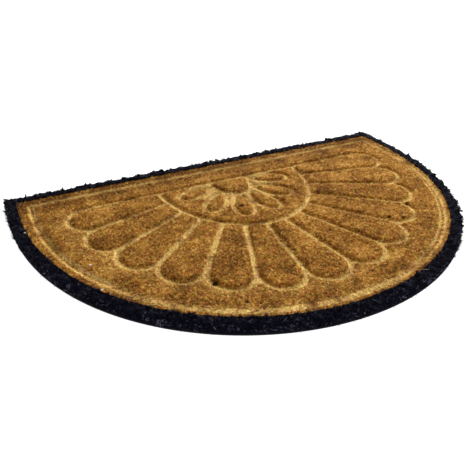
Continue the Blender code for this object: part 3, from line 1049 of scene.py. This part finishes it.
class DOORMAT_OT_border(bpy.types.Operator):
    """Builds the black coir border: its ground, bristles, locks, wisps, fringe and curls"""

    bl_idname = "doormat.border"
    bl_label = "Black coir border"

    def execute(self, context):
        sizes, colours = context.scene.doormat_border, context.scene.doormat_colours
        palette = (colours.black, colours.black, colours.faded, colours.black)
        ground_finish = coir_material("black coir ground", palette, False, *DYED_GROUND_SHEEN)
        fibre_finish = coir_material("black coir fibre", palette, True, *DYED_SHEEN, BRISTLE_RARITY)
        curl_finish = coir_material("black coir curl", palette, True, *DYED_SHEEN, CURL_RARITY)
        side, top, turn = BORDER_FOOT_INSET, BORDER_TOP_Z - TOP_SUNK, sizes.rounding
        section = [(BORDER_WIDTH, PILE_FOOT_Z)]
        section += [(side, z) for z in np.linspace(PILE_FOOT_Z, top - turn, WALL_STEPS)]
        for i in range(1, SHOULDER_STEPS + 1):
            angle = pi / 2 * i / SHOULDER_STEPS
            section.append((side + turn * (1 - cos(angle)), top - turn * (1 - sin(angle))))
        section += [(s, top) for s in np.linspace(side + turn, BORDER_WIDTH - GAP, TOP_STEPS)[1:]]
        section.append((BORDER_WIDTH, top))
        rings = [[(x, y, z) for x, y in outline(inset)] for inset, z in section]
        mesh = lofted("border_ground", rings, closed_section=True)
        points = points_of(mesh)
        height = points[:, 2]
        inner = outline(BORDER_WIDTH)
        from_inner = distance_to(np.concatenate([inner, inner[:1]]), points[:, :2])
        free = (height > PILE_FOOT_Z + GAP) & (from_inner > GAP / 2)
        normals = points_of(mesh, "normal")
        rise = (knobs(points, sizes.knob_size) - KNOB_LEVEL) * sizes.knob_height
        high = ramp(height, sizes.bare_height - BARE_BELOW, sizes.bare_height + BARE_ABOVE)
        moved = points + normals * (rise * high * free)[:, None]
        mesh.vertices.foreach_set("co", moved.ravel())
        bristly = free * (height > sizes.bare_height)
        write_values(mesh, "pale", sizes.top_dark * ramp(height, TOP_DARK_FROM, TOP_DARK_TO))
        write_values(mesh, "stand", bristly)
        ground = add_object("border_ground", mesh, ground_finish)
        growth = {
            "Fibre": shared["cut"], **fibre_sizes(sizes, "bristle"), "Length spread": 0.3,
            "Upright": 0.5, "Outward": 0.5, "Lean": 0.35, "Tuft size": sizes.tuft_size,
            "Tuft height": 2.6, "Tuft lean": 1.4, "Comb": 0.25, "Own tone": 0.85, "Lift": 0.0,
            "Seed": 21, "Material": fibre_finish}
        bristles = grown("border_bristles", ground, growth)
        growth.update({
            "Fibre": shared["lock"], **fibre_sizes(sizes, "lock"), "Lift": -0.0003, "Seed": 22})
        locks = grown("border_locks", ground, growth)
        tilt = np.linalg.norm(normals[:, :2], axis=1)
        write_values(mesh, "stand", free * (tilt > SHOULDER_TILT) * (height > sizes.wisp_height))
        growth.update({
            **fibre_sizes(sizes, "wisp"), "Length spread": 0.4, "Upright": 0.35, "Outward": 0.9,
            "Lean": 0.5, "Seed": 23})
        wisps = grown("border_wisps", ground, growth)
        beside = (from_inner < sizes.fringe_reach) * (height > sizes.wisp_height) * 1.0
        beside *= np.where(points[:, 1] > BACK_Y - 2 * BORDER_WIDTH, 1, sizes.fringe_share)
        write_values(mesh, "stand", beside)
        growth.update({
            "Density": sizes.fringe_density, "Length": sizes.fringe_length, "Width": sizes.lock_width,
            "Upright": 0.7, "Outward": 0.3, "Comb": 0.55, "Seed": 24})
        fringe = grown("border_fringe", ground, growth)
        write_values(mesh, "stand", bristly)
        write_values(mesh, "lie", np.ones(len(points)))
        growth.update({
            "Fibre": shared["bent"], **fibre_sizes(sizes, "curl"), "Lift": 0.0016, "Seed": 25,
            "Material": curl_finish})
        curls = grown("border_curls", ground, growth)
        for piece in (ground, bristles, locks, wisps, fringe, curls):
            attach(piece, "root")
            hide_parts("coir_border")
        return {"FINISHED"}


class DOORMAT_OT_strays(bpy.types.Operator):
    """Builds the stray fibres and the pale crumbs"""

    bl_idname = "doormat.strays"
    bl_label = "Stray fibres"

    def execute(self, context):
        colours = context.scene.doormat_colours
        shape = hairs(PALE_HAIRS, PALE_THICKNESS)
        for x, y, z, radius in PITH:
            place = Matrix.Translation((x, y, z)) @ Matrix.Diagonal(CRUMB_SCALE)
            bmesh.ops.create_icosphere(shape, subdivisions=1, radius=radius, matrix=place)
        pale = add_object("stray_pale", shape_mesh("stray_pale", shape), pith_material(colours.pith))
        shape = hairs(BLACK_HAIRS, BLACK_THICKNESS)
        hairs(CORNER_TUFT, TUFT_THICKNESS, shape)
        black = add_object("stray_black", shape_mesh("stray_black", shape), pith_material(colours.hair))
        for piece in (pale, black):
            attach(piece, "root")
        return {"FINISHED"}


class DOORMAT_OT_studio(bpy.types.Operator):
    """Sets up the white floor, the soft light and the camera"""

    bl_idname = "doormat.studio"
    bl_label = "Studio"

    def execute(self, context):
        studio = context.scene.doormat_studio
        mesh = bpy.data.meshes.new("studio_floor")
        corners = [(FLOOR_HALF * x, FLOOR_HALF * y, FLOOR_Z) for x, y in ((-1, -1), (1, -1), (1, 1), (-1, 1))]
        mesh.from_pydata(corners, [], [(0, 1, 2, 3)])
        material, shader, n = principled("white floor", roughness=0.9, specular=0.1)
        shader.inputs["Base Color"].default_value = FLOOR_COLOUR
        shader.inputs["Emission Color"].default_value = WHITE
        shader.inputs["Emission Strength"].default_value = FLOOR_GLOW
        back = n.add("ShaderNodeNewGeometry").outputs["Backfacing"]
        clear = n.add("ShaderNodeBsdfTransparent").outputs[0]
        seen = n.add("ShaderNodeMixShader", {0: back, 1: shader.outputs[0], 2: clear}).outputs[0]
        output = material.node_tree.nodes["Material Output"]
        material.node_tree.links.new(seen, output.inputs["Surface"])
        floor = add_object("studio_floor", mesh, material)

        world = bpy.data.worlds.new("studio")
        world.use_nodes = True
        sky = world.node_tree.nodes["Background"]
        sky.inputs["Color"].default_value = WHITE
        sky.inputs["Strength"].default_value = studio.sky
        context.scene.world = world
        context.scene.view_settings.view_transform = "Standard"

        for name, power, size, place in (
            ("key", studio.key, KEY_SIZE, KEY_PLACE), ("fill", studio.fill, FILL_SIZE, FILL_PLACE),
        ):
            light = bpy.data.lights.new(name, "AREA")
            light.energy, light.size = power, size
            lamp = bpy.data.objects.new(name, light)
            lamp.location = place
            lamp.rotation_euler = (-lamp.location).to_track_quat("-Z", "Y").to_euler()
            context.scene.collection.objects.link(lamp)

        turn, rise = studio.azimuth, studio.elevation
        forward = Vector((sin(turn) * cos(rise), cos(turn) * cos(rise), -sin(rise)))
        right = forward.cross(Vector((0, 0, 1))).normalized()
        up = right.cross(forward)
        tilted_right = cos(studio.roll) * right + sin(studio.roll) * up
        tilted_up = cos(studio.roll) * up - sin(studio.roll) * right
        camera = bpy.data.objects.new("camera", bpy.data.cameras.new("camera"))
        camera.data.lens = studio.lens
        camera.data.clip_start = 0.01
        pose = Matrix((tilted_right, tilted_up, -forward)).transposed().to_4x4()
        camera.matrix_world = Matrix.Translation(Vector(CAMERA_TARGET) - forward * studio.distance) @ pose
        context.scene.collection.objects.link(camera)
        context.scene.camera = camera
        return {"FINISHED"}


class DOORMAT_PT_panel(bpy.types.Panel):
    """Lists the steps that build the doormat"""

    bl_idname = "DOORMAT_PT_panel"
    bl_label = "Coir doormat"
    bl_space_type = "VIEW_3D"
    bl_region_type = "UI"
    bl_category = "Doormat"

    def draw(self, context):
        for step in STEPS:
            self.layout.operator(step.bl_idname)


SETTINGS = {
    "doormat_field": FieldSizes, "doormat_border": BorderSizes,
    "doormat_colours": CoirColours, "doormat_studio": StudioSettings}
STEPS = (
    DOORMAT_OT_backing, DOORMAT_OT_field, DOORMAT_OT_border, DOORMAT_OT_strays, DOORMAT_OT_studio)


def register():
    for kind in (*SETTINGS.values(), *STEPS, DOORMAT_PT_panel):
        bpy.utils.register_class(kind)
    for name, kind in SETTINGS.items():
        setattr(bpy.types.Scene, name, PointerProperty(type=kind))


def unregister():
    for name in SETTINGS:
        delattr(bpy.types.Scene, name)
    for kind in reversed((*SETTINGS.values(), *STEPS, DOORMAT_PT_panel)):
        bpy.utils.unregister_class(kind)


def main():
    register()
    shared["tree"] = pile_tree()
    shared["flecks"] = fleck_group()
    shared["cut"] = cut_fibre()
    shared["bent"] = bent_fibre()
    shared["lock"] = lock_of_fibres()
    bpy.ops.doormat.backing()
    bpy.ops.doormat.field()
    bpy.ops.doormat.border()
    bpy.ops.doormat.strays()
    bpy.ops.doormat.studio()
    for fibre in ("cut", "bent", "lock"):
        bpy.data.objects.remove(shared.pop(fibre))


if __name__ == "__main__":
    main()
